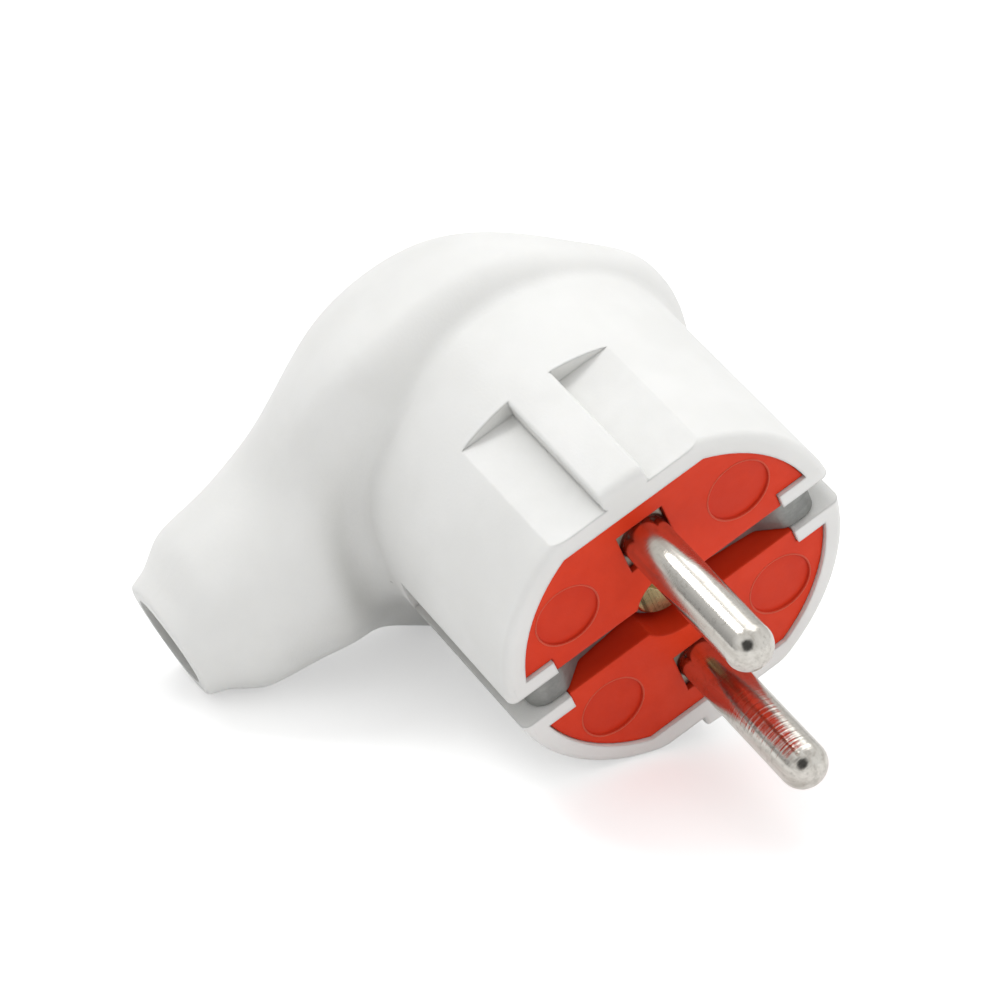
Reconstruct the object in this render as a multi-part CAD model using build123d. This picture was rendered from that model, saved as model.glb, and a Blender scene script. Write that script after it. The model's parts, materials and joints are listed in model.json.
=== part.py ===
from build123d import *
import os

# An angled earthed plug: a soft hood, a red contact carrier in its mouth, two pins and an earth strap.
# While it is built, +X runs out along the pins, -Y runs out of the cable nozzle, and the pins lie one
# above the other along Z. The origin is the centre of the carrier's face. Lengths are in millimetres.

# Head of the hood, and the carrier's seat in it
HEAD_R = 18.5
HEAD_L = 28.5
HEAD_WALL = 2.0
RIM_PROUD = 0.4
RIM_ROUND = 0.9
FLAT_DEPTH = 2.0
FLAT_Z = HEAD_R - FLAT_DEPTH
FLAT_L = 15.6
RIB_W = 4.9
RIB_ROUND = 0.35
SEAT_R = HEAD_R - HEAD_WALL
SEAT_Z = FLAT_Z - HEAD_WALL

# Pins: a round contact with a tapered root, a square shank through the plate and a terminal block behind it
PIN_D = 4.8
PIN_INSET = 9.0
PIN_PITCH = 2 * (HEAD_R - PIN_INSET)
PIN_REACH = 19.0
PIN_TIP_R = 2.2
SHANK_W = 5.0
SHANK_SINK = 0.6
TERMINAL_W = 6.4
TERMINAL_L = 10.0
WIRE_HOLE_D = 3.2
WIRE_HOLE_L = 8.0

# Neck of the hood: each station gives its place along Y and its radius
NECK_X = -HEAD_L - 3.9
NECK_STATIONS = [
    (-HEAD_R - 20.0, 6.3),
    (-HEAD_R - 18.3, 6.9),
    (-HEAD_R - 16.7, 7.9),
    (-HEAD_R - 15.1, 8.85),
    (-HEAD_R - 13.3, 9.3),
    (-HEAD_R - 9.5, 9.8),
]

# Elbow of the hood: each station gives its place along Y, the X of its widest line,
# its reach in front of that line and behind it, and its half height
ELBOW_STATIONS = [
    (-HEAD_R - 5.0, NECK_X, 10.2, 10.8, 10.9),
    (-HEAD_R - 1.5, -HEAD_L - 3.2, 7.0, 11.3, HEAD_R - 4.5),
    (-HEAD_R + 2.5, -HEAD_L - 2.2, 5.6, 12.9, HEAD_R - 0.7),
    (-HEAD_R + 8.5, -HEAD_L - 1.5, 8.0, 16.5, HEAD_R + 1.9),
    (-3.0, -HEAD_L - 1.9, 8.4, 17.4, HEAD_R + 2.4),
    (4.0, -HEAD_L - 2.0, 8.2, 15.6, HEAD_R + 1.6),
    (HEAD_R - 8.5, -HEAD_L - 1.5, 7.0, 11.2, HEAD_R - 1.3),
    (HEAD_R - 3.5, -HEAD_L - 1.3, 5.2, 6.8, HEAD_R - 6.0),
    (HEAD_R, -HEAD_L - 1.5, 3.5, 3.8, 8.2),
    (HEAD_R + 1.2, -HEAD_L - 1.6, 2.2, 2.4, 5.3),
    (HEAD_R + 1.8, -HEAD_L - 1.7, 1.0, 1.1, 2.5),
]
CREASE_ROUND = 2.0
HOOD_WALL = 2.8

# Cable entry at the end of the neck
BORE_R = 4.75
BORE_L = 12.0
LIP_ROUND = 0.6

# Side slots of the hood, and the jaws that line them and reach into the carrier
SLOT_W = 3.9
SLOT_L = 19.5
JAW_T = 1.6
JAW_REACH = 3.5
JAW_Y = SEAT_R - JAW_REACH

# Contact carrier: a thick plate with a skirt behind it
CARRIER_L = 24.0
FIT = 0.1
PLATE_T = 7.5
CARRIER_WALL = 1.6
CHAMBER_Y = JAW_Y - FIT - CARRIER_WALL
WELL_R = 4.15
MEDALLION_R = 3.3
MEDALLION_DEPTH = 0.25
MEDALLION_INSET = 6.7
MEDALLION_DROP = 2.1
MEDALLION_Y = SEAT_R - MEDALLION_INSET
MEDALLION_Z = PIN_PITCH / 2 - MEDALLION_DROP
BARRIER_T = 1.2
BARRIER_GAP = 0.7
BARRIER_Z = PIN_PITCH / 2 - TERMINAL_W / 2 - BARRIER_GAP - BARRIER_T
BARRIER_L = 11.0
WINDOW_GAP = 0.5
WINDOW_W = TERMINAL_W + 2 * WINDOW_GAP

# Bead inside the head that snaps into a groove round the carrier
BEAD_BACK = 3.0
BEAD_X = BEAD_BACK - CARRIER_L
BEAD_W = 1.0
BEAD_PROUD = 0.5
BEAD_R = SEAT_R - BEAD_PROUD

# Earth strap: its middle line in Y and X, from the middle of the face to the end of a leg
STRAP_T = 0.8
STRAP_W = 3.5
STRAP_BEND_R = 1.4
STRAP_EYE_R = 3.7
LEG_Y = SEAT_R - FIT - STRAP_T / 2
STRAP_LINE = [
    (STRAP_EYE_R + 0.7, -3.5),
    (LEG_Y - 5.6, -2.8),
    (LEG_Y - 3.0, -0.65),
    (LEG_Y, -0.65),
    (LEG_Y, 0.5 - SLOT_L),
]

# Centre screw and its nut
CENTRE_SCREW_D = 3.8
CENTRE_SCREW_L = 8.5
CENTRE_HEAD_R = 3.1
CENTRE_HEAD_T = 1.0
EARTH_NUT_W = 6.4
EARTH_NUT_T = 2.4

# Terminal screws
TERMINAL_SCREW_D = 2.8
TERMINAL_SCREW_L = 2.2
TERMINAL_SCREW_X = -13.0
TERMINAL_HEAD_R = 2.5
TERMINAL_HEAD_T = 1.5

# Cord clamp: a bridge with two bosses across the back of the carrier, and an arched bar on them
CLAMP_OUT = 0.25
CLAMP_Y = -(SEAT_R / 2 + CLAMP_OUT)
BRIDGE_W = 5.6
BRIDGE_T = 5.0
BOSS_INSET = 6.6
BOSS_Z = SEAT_Z - BOSS_INSET
BOSS_R = 2.7
BOSS_L = 4.5
CLAMP_W = 5.0
CLAMP_T = 2.0
CLAMP_END = 2.1
CLAMP_HALF = BOSS_Z + CLAMP_END
CLAMP_SCREW_D = 2.9
CLAMP_SCREW_L = 8.5
CLAMP_HEAD_R = 2.4
CLAMP_HEAD_T = 1.6
ARCH_GAP = 0.5
CLAMP_ARCH_R = BOSS_Z - CLAMP_HEAD_R - ARCH_GAP

# Screw slots and the gap left for each thread
SLOT_CUT_W = 0.8
SLOT_CUT_DEPTH = 0.7
THREAD_GAP = 0.1

# How the plug lies on a table: turned about the pins' axis, then dipped at the pins
REST_ROLL = 28.15
REST_DIP = 9.36


def across(sketch, x0, x1):
    """A sketch in Y and Z, drawn out along X from x0 to x1."""
    return extrude(Plane(origin=(x0, 0, 0), x_dir=(0, 1, 0), z_dir=(1, 0, 0)) * sketch, x1 - x0)


def strip(sketch, width):
    """A sketch in Y and X, made as wide as given along Z about the middle."""
    return extrude(Plane(origin=(0, 0, 0), x_dir=(0, 1, 0), z_dir=(0, 0, -1)) * sketch, width / 2, both=True)


def block(x, y, z):
    """A block between the low and high limits given for each axis."""
    sketch = Pos((y[0] + y[1]) / 2, (z[0] + z[1]) / 2) * Rectangle(y[1] - y[0], z[1] - z[0])
    return across(sketch, x[0], x[1])


def both_sides(shape):
    """A shape and its mirror image in the XZ plane."""
    return shape + mirror(shape, Plane.XZ)


def four_ways(shape):
    """A shape mirrored in the XZ plane and then in the XY plane."""
    pair = both_sides(shape)
    return pair + mirror(pair, Plane.XY)


def seat_outline(gap):
    """The carrier's outline, a disc with two flats, smaller than the hood's seat by a gap."""
    return Circle(SEAT_R - gap) & Rectangle(2 * SEAT_R, 2 * (SEAT_Z - gap))


def egg(y, x, front, back, half_height):
    """A section across the cable's run: a blunt half ellipse in front and a deeper one behind."""
    fore = EllipticalCenterArc((0, 0), front, half_height, start_angle=-90, arc_size=180)
    aft = EllipticalCenterArc((0, 0), back, half_height, start_angle=90, arc_size=180)
    plane = Plane(origin=(x, y, 0), x_dir=(1, 0, 0), z_dir=(0, 1, 0))
    return plane * make_face([fore, aft])


def head():
    """The round head, with a rounded rim and a flat above and below that a rib divides."""
    body = across(Circle(HEAD_R), -HEAD_L, RIM_PROUD)
    body = fillet(body.edges().group_by(Axis.X)[-1], RIM_ROUND)
    for side in (1, -1):
        recess = Pos(0, side * HEAD_R) * Rectangle(2 * HEAD_R, 2 * (HEAD_R - FLAT_Z))
        recess -= Rectangle(RIB_W, 4 * HEAD_R)
        body -= across(recess, -FLAT_L, RIM_PROUD)
    rib_edges = body.edges().filter_by(Axis.X).group_by(lambda edge: round(abs(edge.center().Y), 2))[0]
    return fillet(rib_edges.filter_by(lambda edge: abs(edge.center().Z) > FLAT_Z + RIB_ROUND), RIB_ROUND)


def elbow():
    """The neck and the bulged elbow, lofted in one smooth skin from the lip to a small flat tip."""
    sections = [egg(y, NECK_X, r, r, r) for y, r in NECK_STATIONS]
    sections += [egg(*station) for station in ELBOW_STATIONS]
    return loft(sections)


def hood_cavity():
    """The carrier's seat, the wiring chamber behind it and the cable's way in."""
    cavity = across(seat_outline(0), -CARRIER_L, RIM_PROUD)
    cavity += across(Circle(HEAD_R - 2 * HEAD_WALL), -HEAD_L, -CARRIER_L)
    lip_y = NECK_STATIONS[0][0]
    mouth_y = lip_y + BORE_L
    neck_r = NECK_STATIONS[-1][1] - HOOD_WALL
    sections = [egg(mouth_y, NECK_X, neck_r, neck_r, neck_r)]
    for y, x, front, back, half_height in ELBOW_STATIONS[:-3]:
        sections.append(egg(y, x, front - HOOD_WALL, back - HOOD_WALL, half_height - HOOD_WALL))
    cavity += loft(sections, ruled=True)
    bore_plane = Plane(origin=(NECK_X, lip_y, 0), x_dir=(1, 0, 0), z_dir=(0, 1, 0))
    return cavity + extrude(bore_plane * Circle(BORE_R), BORE_L)


def hood():
    """The soft one-piece hood: head, elbow and neck, with a lined slot on each side of the head."""
    body = head() + elbow()
    creases = body.edges().filter_by(GeomType.BSPLINE).filter_by_position(Axis.X, -HEAD_L, -FLAT_L)
    body = fillet(creases.sort_by(SortBy.LENGTH)[-1], CREASE_ROUND)
    body = fillet(body.edges().group_by(Axis.Y)[0], LIP_ROUND)
    body -= hood_cavity()
    half_slot = SLOT_W / 2
    slot_x = (-SLOT_L, RIM_PROUD)
    jaw = block(slot_x, (JAW_Y, HEAD_R - HEAD_WALL / 2), (half_slot, half_slot + JAW_T))
    body += four_ways(jaw)
    body -= both_sides(block(slot_x, (JAW_Y, HEAD_R + 1), (-half_slot, half_slot)))
    bead = Circle(HEAD_R - HEAD_WALL / 2) - Circle(BEAD_R)
    return body + across(bead, BEAD_X - BEAD_W / 2, BEAD_X + BEAD_W / 2)


def strap_line():
    """The strap's middle line in Y and X, from the end of one leg to the end of the other."""
    right = STRAP_LINE
    left = [(-y, x) for y, x in reversed(right)]
    return FilletPolyline(*left, *right, radius=STRAP_BEND_R)


def strap_profile():
    """The strap's bent sheet seen edge on."""
    return trace(strap_line(), STRAP_T)


def strap_room():
    """All that lies in front of the strap's back face and outside its legs."""
    end_y, end_x = STRAP_LINE[-1]
    far = 2 * HEAD_R
    frame = Polyline((end_y, end_x), (far, end_x), (far, far), (-far, far), (-far, end_x), (-end_y, end_x))
    return make_face([*strap_line().edges(), *frame.edges()]) + strap_profile()


def earth_strap():
    """The earth strap: a bent strip with an eye in the middle and a leg down each side."""
    floor_x = STRAP_LINE[0][1]
    strap = strip(strap_profile(), STRAP_W)
    strap += across(Circle(STRAP_EYE_R), floor_x - STRAP_T / 2, floor_x + STRAP_T / 2)
    hole = across(Circle(CENTRE_SCREW_D / 2 + FIT), 2 * floor_x, 0)
    return strap - hole


def contact_carrier():
    """The red moulding: a plate with the strap's groove and the pins' holes, a skirt and a clamp bridge."""
    body = across(seat_outline(FIT), -CARRIER_L, 0)
    inner_r = SEAT_R - CARRIER_WALL
    inner_z = SEAT_Z - CARRIER_WALL
    body -= across(Circle(inner_r) & Rectangle(2 * CHAMBER_Y, 2 * inner_z), -CARRIER_L, -PLATE_T)

    # Barriers between the three terminals, a window over each pin's screw and room for the nut
    barrier_x = (-PLATE_T - BARRIER_L, -PLATE_T)
    body += block(barrier_x, (-CHAMBER_Y, CHAMBER_Y), (BARRIER_Z, BARRIER_Z + BARRIER_T))
    body += block(barrier_x, (-CHAMBER_Y, CHAMBER_Y), (-BARRIER_Z - BARRIER_T, -BARRIER_Z))
    body -= block(barrier_x, (-WINDOW_W / 2, WINDOW_W / 2), (inner_z - 1, HEAD_R))
    body -= block(barrier_x, (-WINDOW_W / 2, WINDOW_W / 2), (-HEAD_R, 1 - inner_z))

    half_nut = EARTH_NUT_W / 2 + FIT
    body -= block((-PLATE_T - EARTH_NUT_T, -PLATE_T), (-half_nut, half_nut), (-half_nut, half_nut))

    # Bridge and bosses for the cord clamp
    bridge = seat_outline(FIT) & Pos(CLAMP_Y, 0) * Rectangle(BRIDGE_W, 2 * HEAD_R)
    body += across(bridge, -CARRIER_L, BRIDGE_T - CARRIER_L)
    bosses = Pos(CLAMP_Y, BOSS_Z) * Circle(BOSS_R) + Pos(CLAMP_Y, -BOSS_Z) * Circle(BOSS_R)
    body += across(bosses, -CARRIER_L - BOSS_L, -CARRIER_L)
    pilot = Circle(CLAMP_SCREW_D / 2 + THREAD_GAP)
    pilots = Pos(CLAMP_Y, BOSS_Z) * pilot + Pos(CLAMP_Y, -BOSS_Z) * pilot
    body -= across(pilots, -CARRIER_L - BOSS_L, BRIDGE_T - CARRIER_L)

    # Face: the strap's groove, the screw's well, the pins' square holes and four bare medallions
    body -= strip(strap_room(), SLOT_W)
    floor_x = STRAP_LINE[0][1] - STRAP_T / 2
    body -= across(Circle(WELL_R), floor_x, 0)
    body -= across(Circle(CENTRE_SCREW_D / 2 + FIT), -PLATE_T, 0)
    pin_hole = Rectangle(SHANK_W + 2 * FIT, SHANK_W + 2 * FIT)
    pin_holes = Pos(0, PIN_PITCH / 2) * pin_hole + Pos(0, -PIN_PITCH / 2) * pin_hole
    body -= across(pin_holes, -PLATE_T, 0)
    medallion = Pos(MEDALLION_Y, MEDALLION_Z) * Circle(MEDALLION_R)
    body -= four_ways(across(medallion, -MEDALLION_DEPTH, 0))

    # Notches for the hood's jaws and the groove for its bead
    notch_z = (SLOT_W / 2 - FIT, SLOT_W / 2 + JAW_T + FIT)
    body -= four_ways(block((-SLOT_L - FIT, 0), (JAW_Y - FIT, HEAD_R), notch_z))
    groove = Circle(HEAD_R) - Circle(BEAD_R - FIT)
    return body - across(groove, BEAD_X - BEAD_W / 2 - FIT, BEAD_X + BEAD_W / 2 + FIT)


def pin(side):
    """One pin, above the middle for side 1 and below it for side -1."""
    z = side * PIN_PITCH / 2
    contact = across(Circle(PIN_D / 2), 0, PIN_REACH)
    contact = fillet(contact.edges().group_by(Axis.X)[-1], PIN_TIP_R)
    root = Pos(-SHANK_SINK / 2, 0, 0) * Rot(0, 90, 0) * Cone(SHANK_W / 2, PIN_D / 2, SHANK_SINK)
    shank = across(Rectangle(SHANK_W, SHANK_W), -PLATE_T, -SHANK_SINK)
    back_x = -PLATE_T - TERMINAL_L
    terminal = across(Rectangle(TERMINAL_W, TERMINAL_W), back_x, -PLATE_T)
    terminal -= across(Circle(WIRE_HOLE_D / 2), back_x, back_x + WIRE_HOLE_L)
    screw_hole = Cylinder(TERMINAL_SCREW_D / 2 + THREAD_GAP, TERMINAL_W)
    terminal -= Pos(TERMINAL_SCREW_X, 0, side * TERMINAL_W / 2) * screw_hole
    return Pos(0, 0, z) * (contact + root + shank + terminal)


def slotted_screw(head_r, head_t, shank_d, shank_l):
    """A slotted cheese-head screw along Z, its head above the origin and its shank below."""
    head_part = extrude(Circle(head_r), head_t)
    head_part = chamfer(head_part.edges().group_by(Axis.Z)[-1], head_t / 5)
    head_part -= Pos(0, 0, head_t) * Box(3 * head_r, SLOT_CUT_W, 2 * SLOT_CUT_DEPTH)
    return head_part + extrude(Circle(shank_d / 2), -shank_l)


def centre_screw():
    """The screw in the well, through the strap's eye to the nut."""
    screw = slotted_screw(CENTRE_HEAD_R, CENTRE_HEAD_T, CENTRE_SCREW_D, CENTRE_SCREW_L)
    return Pos(STRAP_LINE[0][1] + STRAP_T / 2, 0, 0) * Rot(0, 90, 0) * Rot(0, 0, 35) * screw


def earth_nut():
    """The square nut behind the plate."""
    outline = Rectangle(EARTH_NUT_W, EARTH_NUT_W) - Circle(CENTRE_SCREW_D / 2 + THREAD_GAP)
    return across(outline, -PLATE_T - EARTH_NUT_T, -PLATE_T)


def terminal_screw(side):
    """The screw in the outer face of a pin's terminal block."""
    screw = slotted_screw(TERMINAL_HEAD_R, TERMINAL_HEAD_T, TERMINAL_SCREW_D, TERMINAL_SCREW_L)
    z = PIN_PITCH / 2 + TERMINAL_W / 2
    placed = Pos(TERMINAL_SCREW_X, 0, z) * screw
    return placed if side == 1 else Rot(180, 0, 0) * placed


def cord_clamp():
    """The arched bar across the cord, with a foot on each boss."""
    seat_x = -CARRIER_L - BOSS_L
    feet = Pos(CLAMP_Y, 0) * SlotOverall(2 * CLAMP_HALF, CLAMP_W, rotation=90)
    bar = across(feet, seat_x - CLAMP_T, seat_x)
    arch_plane = Plane(origin=(seat_x, CLAMP_Y - CLAMP_W / 2, 0), x_dir=(0, 0, 1), z_dir=(0, 1, 0))
    arch = extrude(arch_plane * Circle(CLAMP_ARCH_R), CLAMP_W)
    inner = extrude(arch_plane * Circle(CLAMP_ARCH_R - CLAMP_T), CLAMP_W)
    bar = bar + arch - inner
    bar -= block((seat_x, 0), (-HEAD_R, HEAD_R), (-HEAD_R, HEAD_R))
    hole = Circle(CLAMP_SCREW_D / 2 + FIT)
    holes = Pos(CLAMP_Y, BOSS_Z) * hole + Pos(CLAMP_Y, -BOSS_Z) * hole
    return bar - across(holes, seat_x - CLAMP_T, seat_x)


def cord_clamp_screw(side):
    """One of the two screws that hold the bar down on its bosses."""
    screw = slotted_screw(CLAMP_HEAD_R, CLAMP_HEAD_T, CLAMP_SCREW_D, CLAMP_SCREW_L)
    return Pos(-CARRIER_L - BOSS_L - CLAMP_T, CLAMP_Y, side * BOSS_Z) * Rot(0, -90, 0) * screw


pieces = {
    "hood": hood(),
    "contact_carrier": contact_carrier(),
    "upper_pin": pin(1),
    "lower_pin": pin(-1),
    "earth_strap": earth_strap(),
    "centre_screw": centre_screw(),
    "earth_nut": earth_nut(),
    "upper_terminal_screw": terminal_screw(1),
    "lower_terminal_screw": terminal_screw(-1),
    "cord_clamp": cord_clamp(),
    "cord_clamp_screws": cord_clamp_screw(1) + cord_clamp_screw(-1),
}

rest = Rot(0, REST_DIP, 0) * Rot(REST_ROLL, 0, 0)
os.makedirs("parts", exist_ok=True)
for node, piece in pieces.items():
    export_step(rest * piece, f"parts/{node}.step")
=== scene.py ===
import json
import math

import bpy
from mathutils import Matrix, Vector


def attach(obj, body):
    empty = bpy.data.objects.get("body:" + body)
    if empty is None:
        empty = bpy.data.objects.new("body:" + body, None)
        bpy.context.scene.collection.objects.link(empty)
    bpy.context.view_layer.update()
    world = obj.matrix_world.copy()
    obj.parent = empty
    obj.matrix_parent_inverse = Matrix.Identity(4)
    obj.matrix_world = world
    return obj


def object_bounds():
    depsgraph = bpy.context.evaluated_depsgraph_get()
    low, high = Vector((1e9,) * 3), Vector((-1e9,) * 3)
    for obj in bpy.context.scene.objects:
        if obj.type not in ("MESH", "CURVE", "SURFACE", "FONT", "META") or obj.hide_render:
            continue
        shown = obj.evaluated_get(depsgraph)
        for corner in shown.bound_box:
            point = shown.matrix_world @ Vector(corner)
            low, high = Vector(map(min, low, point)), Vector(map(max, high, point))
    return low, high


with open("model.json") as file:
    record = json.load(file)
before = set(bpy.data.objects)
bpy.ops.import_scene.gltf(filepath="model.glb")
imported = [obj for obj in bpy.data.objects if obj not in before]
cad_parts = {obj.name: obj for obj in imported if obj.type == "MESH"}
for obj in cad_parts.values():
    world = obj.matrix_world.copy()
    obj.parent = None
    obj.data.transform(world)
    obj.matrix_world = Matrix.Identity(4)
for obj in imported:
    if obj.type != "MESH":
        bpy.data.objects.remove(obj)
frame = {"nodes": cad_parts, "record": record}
cad_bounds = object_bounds()
nodes = frame["nodes"]
scene = bpy.context.scene

# The plug lies rolled about its pins and dipped at the tips, so its own axes are turned into the row's
ROLL = math.radians(28.15)
DIP = math.radians(9.36)
TURN = Matrix.Rotation(DIP, 3, "Y") @ Matrix.Rotation(ROLL, 3, "X")
PIN_AXIS = TURN @ Vector((1, 0, 0))
FACE_AXIS = TURN @ Vector((0, 1, 0))
UP_AXIS = TURN @ Vector((0, 0, 1))
CAMERA_SPOT = TURN @ Vector((0.302257, -0.075838, 0.377175))

# The medallions' place on the red face, along the face and up it
MEDALLION_Y = 0.0098
MEDALLION_Z = 0.0074

# Light: the room's brightness, and how far the floor is lifted to white where it is seen
ROOM = 0.84
FLOOR_LIFT = 0.4


class Paint:
    """A material's node tree, with short ways to add and join nodes."""

    def __init__(self, name):
        self.material = bpy.data.materials.new(name)
        self.material.use_nodes = True
        self.tree = self.material.node_tree
        self.shader = self.tree.nodes["Principled BSDF"]
        self.place = self.tree.nodes.new("ShaderNodeTexCoord").outputs["Object"]

    def add(self, kind, settings=None, **inputs):
        """A new node; a socket given as input is linked, anything else is set on the socket."""
        node = self.tree.nodes.new(kind)
        for key, value in (settings or {}).items():
            setattr(node, key, value)
        for key, value in inputs.items():
            socket = int(key[1:]) if key[1:].isdigit() else key.replace("_", " ")
            self.put(node.inputs[socket], value)
        return node

    def put(self, socket, value):
        """Link a socket to a value's socket, or set it to a plain value."""
        if isinstance(value, bpy.types.NodeSocket):
            self.tree.links.new(value, socket)
        else:
            socket.default_value = value

    def set(self, **inputs):
        """Set or link the shader's own inputs."""
        for key, value in inputs.items():
            self.put(self.shader.inputs[key.replace("_", " ")], value)

    def math(self, operation, a, b=0.0):
        return self.add("ShaderNodeMath", {"operation": operation}, i0=a, i1=b).outputs[0]

    def along(self, axis):
        """How far a point lies along an axis of the plug."""
        node = self.add("ShaderNodeVectorMath", {"operation": "DOT_PRODUCT"}, i0=self.place, i1=axis)
        return node.outputs["Value"]

    def turned(self):
        """Object coordinates in the plug's own axes."""
        parts = [self.along(axis) for axis in (PIN_AXIS, FACE_AXIS, UP_AXIS)]
        return self.add("ShaderNodeCombineXYZ", None, i0=parts[0], i1=parts[1], i2=parts[2]).outputs[0]

    def noise(self, scale, detail=3.0, rough=0.5, where=None):
        node = self.add("ShaderNodeTexNoise", None, Vector=where or self.place, Scale=scale)
        node.inputs["Detail"].default_value = detail
        node.inputs["Roughness"].default_value = rough
        return node.outputs["Fac"]

    def bands(self, way, scale, detail):
        """Noise that changes in one direction only."""
        node = self.add("ShaderNodeTexNoise", {"noise_dimensions": "1D"}, W=way, Scale=scale, Detail=detail)
        return node.outputs["Fac"]

    def ramp(self, value, low, high, to_low=0.0, to_high=1.0):
        node = self.add("ShaderNodeMapRange", {"interpolation_type": "SMOOTHSTEP"}, Value=value)
        for key, number in (("From Min", low), ("From Max", high), ("To Min", to_low), ("To Max", to_high)):
            node.inputs[key].default_value = number
        return node.outputs["Result"]

    def mix(self, share, a, b):
        node = self.add("ShaderNodeMix", {"data_type": "RGBA"})
        self.put(node.inputs["Factor"], share)
        self.put(node.inputs["A"], a if isinstance(a, bpy.types.NodeSocket) else (*a, 1))
        self.put(node.inputs["B"], b if isinstance(b, bpy.types.NodeSocket) else (*b, 1))
        return node.outputs["Result"]

    def bump(self, height, strength, distance, onto=None):
        node = self.add("ShaderNodeBump", None, Height=height, Strength=strength, Distance=distance)
        if onto is not None:
            self.put(node.inputs["Normal"], onto)
        return node.outputs["Normal"]

    def soft_edges(self, radius):
        """Normals that round off the edges."""
        return self.add("ShaderNodeBevel", {"samples": 4}, Radius=radius).outputs["Normal"]


def soft_white():
    """Off-white soft PVC: satin, faintly mottled, with a few dark specks and painted shade darkening the
    creases.
    """
    p = Paint("hood_pvc")
    cloud = p.ramp(p.noise(110, 4), 0.35, 0.68)
    base = p.mix(cloud, (0.862, 0.862, 0.842), (0.9, 0.9, 0.882))
    cells = p.add("ShaderNodeTexVoronoi", None, Vector=p.place, Scale=300.0)
    pick = p.add("ShaderNodeSeparateColor", None, Color=cells.outputs["Color"]).outputs[0]
    dot = p.math("MULTIPLY", p.ramp(cells.outputs["Distance"], 0.03, 0.07, 1, 0), p.ramp(pick, 0.83, 0.84))
    base = p.mix(p.math("MULTIPLY", dot, 0.45), base, (0.25, 0.24, 0.22))
    # Painted shade: ambient occlusion darkens the hood in its creases and the hollows between its parts.
    painted_crease_shade = p.add("ShaderNodeAmbientOcclusion", {"samples": 4, "only_local": True}, Distance=0.014)
    base = p.mix(p.ramp(painted_crease_shade.outputs["AO"], 0.35, 0.95, 0.6, 0), base, (0.56, 0.56, 0.54))
    grain = p.noise(3200, 2)
    p.set(Base_Color=base, Roughness=p.ramp(p.noise(700, 3), 0.3, 0.7, 0.42, 0.54))
    p.set(Subsurface_Weight=0.12, Subsurface_Radius=(1.0, 0.95, 0.85), Subsurface_Scale=0.0016)
    p.set(Specular_IOR_Level=0.3, Normal=p.bump(grain, 0.12, 0.00012, p.soft_edges(0.0004)))
    return p.material


def carrier_red(name, painted_highlight):
    """Red satin plastic with a fine moulded grain and slight colour streaks, painted darker as shade in its
    recesses and painted paler by the given share as a highlight.
    """
    p = Paint(name)
    flow = p.noise(160, 5, 0.6)
    base = p.mix(p.ramp(flow, 0.35, 0.7), (0.74, 0.040, 0.009), (0.81, 0.050, 0.012))
    axial = p.along(PIN_AXIS)
    # Painted shade: the red darkens deeper down into the pin holes and the groove, and all of it set back
    # behind the face is a little darker.
    base = p.mix(p.ramp(axial, -0.0042, -0.0014, 0.6, 0), base, (0.40, 0.006, 0.002))
    base = p.mix(p.ramp(axial, -0.0002, -0.0001, 0.18, 0), base, (0.45, 0.012, 0.003))
    # Painted highlight: a paler red mixed in by the given share, used for the medallion rings.
    base = p.mix(painted_highlight, base, (0.9, 0.26, 0.17))
    grain = p.noise(2600, 3)
    p.set(Base_Color=base, Roughness=p.ramp(p.noise(900, 3), 0.3, 0.7, 0.34, 0.46))
    p.set(Specular_IOR_Level=0.2, Normal=p.bump(grain, 0.16, 0.0001, p.soft_edges(0.0003)))
    return p.material


def nickel():
    """Bright nickel plate on turned brass: rings round the pin, wear along it, dull down in its hole."""
    p = Paint("nickel")
    axial = p.along(PIN_AXIS)
    rings = p.bands(axial, 5200.0, 2.0)
    ridges = p.bands(axial, 2300.0, 3.0)
    chatter = p.math("MULTIPLY", p.ramp(axial, 0.006, 0.010), p.ramp(p.along(UP_AXIS), -0.004, 0.004, 1, 0))
    smear = p.add("ShaderNodeMapping", None, Vector=p.turned(), Scale=(60.0, 900.0, 900.0)).outputs[0]
    wear = p.noise(1.0, 4, 0.6, smear)
    base = p.mix(p.ramp(wear, 0.35, 0.75), (0.74, 0.715, 0.665), (0.56, 0.53, 0.48))
    base = p.mix(p.ramp(p.noise(1500, 4, 0.6), 0.5, 0.72, 0, 0.55), base, (0.44, 0.415, 0.375))
    sunk = p.ramp(axial, -0.0008, 0.0003, 0.75, 0)
    base = p.mix(sunk, base, (0.20, 0.165, 0.12))
    rough = p.math("ADD", p.ramp(wear, 0.3, 0.8, 0.1, 0.24), p.math("MULTIPLY", rings, 0.05))
    p.set(Base_Color=base, Metallic=1.0, Roughness=p.math("ADD", rough, p.math("MULTIPLY", sunk, 0.3)))
    fine = p.bump(rings, 0.1, 0.00004, p.soft_edges(0.0002))
    p.set(Normal=p.bump(p.math("MULTIPLY", ridges, chatter), 0.55, 0.00006, fine))
    return p.material


def zinc():
    """Dull zinc plate with rolling marks along the strip."""
    p = Paint("zinc")
    smear = p.add("ShaderNodeMapping", None, Vector=p.turned(), Scale=(220.0, 220.0, 2600.0)).outputs[0]
    marks = p.noise(1.0, 4, 0.6, smear)
    bloom = p.noise(420, 5, 0.65)
    base = p.mix(p.ramp(bloom, 0.35, 0.7), (0.27, 0.275, 0.265), (0.36, 0.365, 0.35))
    p.set(Base_Color=base, Metallic=0.75, Roughness=p.ramp(marks, 0.25, 0.75, 0.46, 0.62))
    p.set(Normal=p.bump(marks, 0.12, 0.00006, p.soft_edges(0.00015)))
    return p.material


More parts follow.
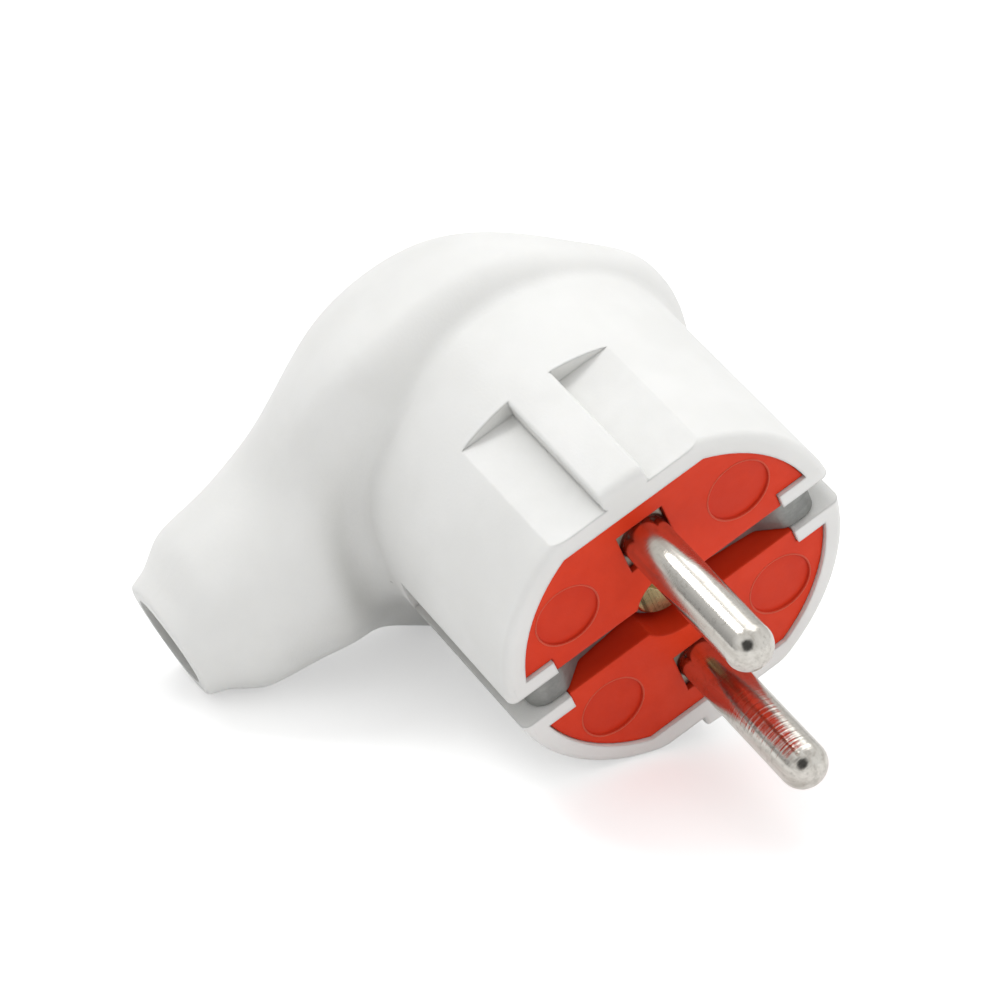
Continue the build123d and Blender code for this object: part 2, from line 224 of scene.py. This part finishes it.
def brass():
    """Yellow brass, tarnished, with dark scores across it."""
    p = Paint("screw_brass")
    tarnish = p.noise(700, 5, 0.62)
    base = p.mix(p.ramp(tarnish, 0.4, 0.75), (0.70, 0.58, 0.32), (0.27, 0.21, 0.11))
    scores = p.bands(p.along(FACE_AXIS), 1500.0, 2.0)
    base = p.mix(p.ramp(scores, 0.5, 0.62, 0, 0.75), base, (0.12, 0.09, 0.045))
    p.set(Base_Color=base, Metallic=1.0, Roughness=p.ramp(tarnish, 0.35, 0.75, 0.26, 0.48))
    p.set(Normal=p.bump(p.noise(2400, 3), 0.12, 0.00006, p.soft_edges(0.00012)))
    return p.material


# Every piece takes the material of its slot in the record
PAINTS = {
    "hood_pvc": soft_white(),
    "carrier_plastic": carrier_red("carrier_plastic", 0.0),
    "nickel": nickel(),
    "zinc": zinc(),
    "screw_brass": brass(),
}
for piece in frame["record"]["subparts"]:
    mesh = nodes[piece["node"]].data
    mesh.materials.clear()
    mesh.materials.append(PAINTS[piece["material_slot"]])


def ring_medallions():
    """A fine raised ring round each medallion, moulded with the red face and painted paler than it as a
    highlight.
    """
    red = carrier_red("ring_plastic_painted_highlight", 0.35)
    for side, way in ((-1, -1), (-1, 1), (1, -1), (1, 1)):
        bpy.ops.mesh.primitive_torus_add(major_radius=0.00338, minor_radius=0.00009, major_segments=96)
        ring = bpy.context.object
        ring.name = "medallion_ring_" + ("left_" if side < 0 else "right_") + ("low" if way < 0 else "high")
        spot = Matrix.Translation((-0.00003, side * MEDALLION_Y, way * MEDALLION_Z))
        ring.data.transform(TURN.to_4x4() @ spot @ Matrix.Rotation(math.radians(90), 4, "Y"))
        ring.data.shade_smooth()
        ring.data.materials.append(red)
        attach(ring, "root")


def lay_floor():
    """A wide white paper floor just under the plug; its shadow is lightened, as on an overlit table."""
    low = cad_bounds[0][2]
    bpy.ops.mesh.primitive_plane_add(size=6, location=(0, 0, low - 0.00002))
    floor = bpy.context.object
    floor.name = "floor"
    p = Paint("floor_paper")
    tone = p.mix(p.noise(40, 3), (0.885, 0.885, 0.885), (0.895, 0.895, 0.895))
    p.set(Base_Color=tone, Roughness=0.9, Specular_IOR_Level=0.0)
    path = p.add("ShaderNodeLightPath").outputs
    glow = p.add("ShaderNodeEmission", None, Strength=p.math("MULTIPLY", path["Is Camera Ray"], FLOOR_LIFT))
    lifted = p.add("ShaderNodeAddShader", None, i0=p.shader.outputs[0], i1=glow.outputs[0])
    mirrored = p.math("MAXIMUM", path["Is Glossy Ray"], path["Is Transmission Ray"])
    white = p.add("ShaderNodeEmission", None, Strength=1.0).outputs[0]
    share = p.math("MULTIPLY", mirrored, 0.55)
    mixed = p.add("ShaderNodeMixShader", None, i0=share, i1=lifted.outputs[0], i2=white)
    p.put(p.tree.nodes["Material Output"].inputs["Surface"], mixed.outputs[0])
    floor.data.materials.append(p.material)


def soft_box(name, spot, aim, size, power):
    """A rectangular lamp that faces a point."""
    lamp = bpy.data.lights.new(name, "AREA")
    lamp.shape = "RECTANGLE"
    lamp.size, lamp.size_y = size
    lamp.energy = power
    holder = bpy.data.objects.new(name, lamp)
    holder.location = spot
    holder.rotation_euler = (Vector(aim) - Vector(spot)).to_track_quat("-Z", "Y").to_euler()
    scene.collection.objects.link(holder)
    return holder


def light():
    """Soft studio light: a bright room, dark round the camera, two boxes behind and a fill in front."""
    world = bpy.data.worlds.new("studio")
    scene.world = world
    world.use_nodes = True
    tree = world.node_tree
    back = tree.nodes["Background"]
    back.inputs["Color"].default_value = (1, 1, 1, 1)
    way = tree.nodes.new("ShaderNodeTexCoord").outputs["Generated"]

    def part(kind, values, links, **settings):
        node = tree.nodes.new(kind)
        for key, value in settings.items():
            setattr(node, key, value)
        for key, value in values.items():
            node.inputs[key].default_value = value
        for key, socket in links.items():
            tree.links.new(socket, node.inputs[key])
        return node

    cloud = part("ShaderNodeTexNoise", {"Scale": 3.2, "Detail": 2.0}, {"Vector": way}).outputs["Fac"]

    def facing(direction, spread, strengths):
        """A strength that changes with how closely a way out into the room follows a direction."""
        dot = part("ShaderNodeVectorMath", {1: direction}, {0: way}, operation="DOT_PRODUCT").outputs["Value"]
        ragged = part("ShaderNodeMath", {1: 0.16, 2: -0.08}, {0: cloud}, operation="MULTIPLY_ADD").outputs[0]
        total = part("ShaderNodeMath", {}, {0: dot, 1: ragged}, operation="ADD").outputs[0]
        limits = dict(zip(("From Min", "From Max", "To Min", "To Max"), (*spread, *strengths)))
        ramp = part("ShaderNodeMapRange", limits, {"Value": total}, interpolation_type="SMOOTHSTEP")
        return ramp.outputs["Result"]

    low_back = facing(Vector((-0.74, -0.25, -0.62)), (-0.3, 0.75), (ROOM, 0.4 * ROOM))
    camera_side = facing(CAMERA_SPOT.normalized(), (0.84, 0.94), (1.0, 0.08))
    strength = part("ShaderNodeMath", {}, {0: low_back, 1: camera_side}, operation="MULTIPLY").outputs[0]
    tree.links.new(strength, back.inputs["Strength"])
    soft_box("back_right_box", (-0.3, 0.35, 0.82), (0, 0, 0), (0.6, 0.6), 1.35)
    soft_box("back_left_box", (-0.47, -0.27, 0.79), (0, 0, 0), (0.28, 0.28), 2.3)
    fill = soft_box("front_fill", (0.72, 0.0, 0.36), (0, 0, 0), (0.6, 0.6), 0.9)
    fill.visible_glossy = False


def aim_camera():
    """The camera that was fitted to the pins and the head, turned with the plug into the row's frame."""
    right = TURN @ Vector((0.51954, 0.80070, -0.29825))
    down = TURN @ Vector((0.55932, -0.58258, -0.58971))
    ahead = TURN @ Vector((-0.64594, 0.13956, -0.75053))
    axes = Matrix((right, -down, -ahead)).transposed().to_4x4()
    lens = bpy.data.cameras.new("camera")
    lens.sensor_width = 36
    lens.lens = 190.675
    lens.clip_start = 0.01
    camera = bpy.data.objects.new("camera", lens)
    camera.matrix_world = Matrix.Translation(CAMERA_SPOT) @ axes
    scene.collection.objects.link(camera)
    scene.camera = camera


ring_medallions()
lay_floor()
light()
aim_camera()
scene.view_settings.view_transform = "Standard"
